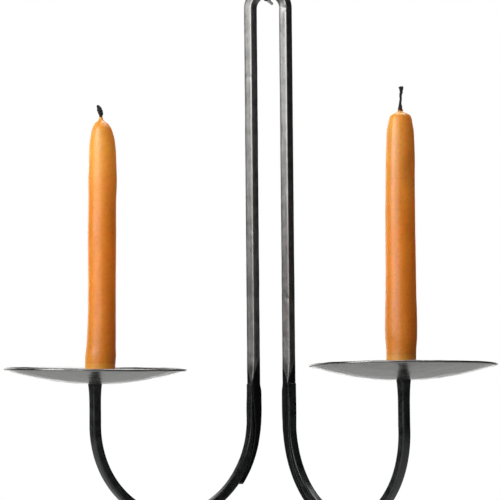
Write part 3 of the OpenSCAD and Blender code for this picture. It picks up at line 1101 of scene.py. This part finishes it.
class SCONCE_OT_stage(bpy.types.Operator):
    """Makes the pale floor, the soft lights and the camera"""

    bl_idname = "sconce.stage"
    bl_label = "Floor, lights and camera"

    def floor(self, stage):
        half_width, steps = 2.2, 24
        level = CAD_BOUNDS[0].z - stage.floor_drop
        bm = bmesh.new()
        bmesh.ops.create_grid(bm, x_segments=steps, y_segments=steps, size=half_width,
                              matrix=Matrix.Translation((0, 0, level)))
        floor = finish_mesh(bm, "studio_floor")
        floor.data.materials.append(pale_floor("pale_floor", stage.floor_colour).material)

    def soft_light(self, name, azimuth, elevation, distance, size, power):
        """A soft box that faces the sconce from a direction."""
        middle_of_sconce = (CAD_BOUNDS[0] + CAD_BOUNDS[1]) / 2
        a, e = math.radians(azimuth), math.radians(elevation)
        away = Vector((math.sin(a) * math.cos(e), -math.cos(a) * math.cos(e), math.sin(e)))
        lamp = bpy.data.lights.new(name, "AREA")
        lamp.shape = "RECTANGLE"
        lamp.size, lamp.size_y = size
        lamp.energy = power
        holder = bpy.data.objects.new(name, lamp)
        bpy.context.scene.collection.objects.link(holder)
        holder.location = middle_of_sconce + away * distance
        holder.rotation_euler = (-away).to_track_quat("-Z", "Y").to_euler()

    def surround(self, scene):
        """A white surround for the eye, while a dim room with a lit backdrop lights the sconce."""
        scene.world = bpy.data.worlds.new("studio_room")
        tree = NodeTree(scene.world)
        # The room, which is brighter the nearer a direction lies to the backdrop's middle
        facing = tree.add("ShaderNodeVectorMath", operation="DOT_PRODUCT")
        facing.inputs[1].default_value = (-math.sin(BACKDROP_TURN), math.cos(BACKDROP_TURN), 0)
        nearness = tree.add("ShaderNodeMapRange")
        nearness.inputs["From Min"].default_value = -1
        walls = tree.ramp(nearness, "Result", ROOM_SHADES)
        room = tree.add("ShaderNodeBackground")
        tree.join(tree.place, "Generated", facing, 0)
        tree.join(facing, "Value", nearness, "Value")
        tree.join(walls, "Color", room, "Color")
        # Plain white for the eye
        white = tree.add("ShaderNodeBackground")
        white.inputs["Color"].default_value = (1, 1, 1, 1)
        rays = tree.add("ShaderNodeLightPath")
        mixer = tree.add("ShaderNodeMixShader")
        output = tree.add("ShaderNodeOutputWorld")
        tree.join(rays, "Is Camera Ray", mixer, "Fac")
        tree.join(room, "Background", mixer, 1)
        tree.join(white, "Background", mixer, 2)
        tree.join(mixer, "Shader", output, "Surface")

    def camera(self, scene, stage):
        a, e, roll = stage.camera_azimuth, stage.camera_elevation, stage.camera_roll
        back = Vector((math.sin(a) * math.cos(e), -math.cos(a) * math.cos(e), math.sin(e)))
        right = UP.cross(back).normalized()
        up = back.cross(right)
        rolled_right = right * math.cos(roll) + up * math.sin(roll)
        rolled_up = up * math.cos(roll) - right * math.sin(roll)
        lens = bpy.data.cameras.new("sconce_camera")
        lens.sensor_width = 36
        lens.lens = stage.lens
        lens.clip_end = 50
        camera = bpy.data.objects.new("sconce_camera", lens)
        scene.collection.objects.link(camera)
        turn = Matrix((rolled_right, rolled_up, back)).transposed().to_4x4()
        place = Vector(stage.aim) + back * stage.camera_distance
        camera.matrix_world = Matrix.Translation(place) @ turn
        scene.camera = camera

    def execute(self, context):
        scene = context.scene
        stage = scene.sconce_stage
        scene.view_settings.view_transform = "Standard"
        self.floor(stage)
        for box in SOFT_BOXES:
            self.soft_light(*box)
        self.surround(scene)
        self.camera(scene, stage)
        return {"FINISHED"}


# ---------------------------------------------------------------- panel and registering

OPERATORS = (SCONCE_OT_stage, SCONCE_OT_wall_nail, SCONCE_OT_hanger, SCONCE_OT_arms,
             SCONCE_OT_drip_pans, SCONCE_OT_spikes, SCONCE_OT_candles, SCONCE_OT_wicks)
GROUPS = {"sconce_forging": SconceForging, "sconce_pans": SconcePans,
          "sconce_candles": SconceCandles, "sconce_finish": SconceFinish,
          "sconce_stage": SconceStage}


class SCONCE_PT_sidebar(bpy.types.Panel):
    """Lists the pieces of the sconce and their sizes"""

    bl_idname = "SCONCE_PT_sidebar"
    bl_label = "Forged Candle Sconce"
    bl_space_type = "VIEW_3D"
    bl_region_type = "UI"
    bl_category = "Sconce"

    def draw(self, context):
        for operator in OPERATORS:
            self.layout.operator(operator.bl_idname)
        for name, group in GROUPS.items():
            box = self.layout.box()
            for field in group.__annotations__:
                box.prop(getattr(context.scene, name), field)


def register():
    for kind in (*GROUPS.values(), *OPERATORS, SCONCE_PT_sidebar):
        bpy.utils.register_class(kind)
    for name, group in GROUPS.items():
        setattr(bpy.types.Scene, name, PointerProperty(type=group))


def unregister():
    for name in GROUPS:
        delattr(bpy.types.Scene, name)
    for kind in (SCONCE_PT_sidebar, *OPERATORS[::-1], *list(GROUPS.values())[::-1]):
        bpy.utils.unregister_class(kind)


def main():
    register()
    for operator in OPERATORS:
        family, name = operator.bl_idname.split(".")
        getattr(getattr(bpy.ops, family), name)()


if __name__ == "__main__":
    main()
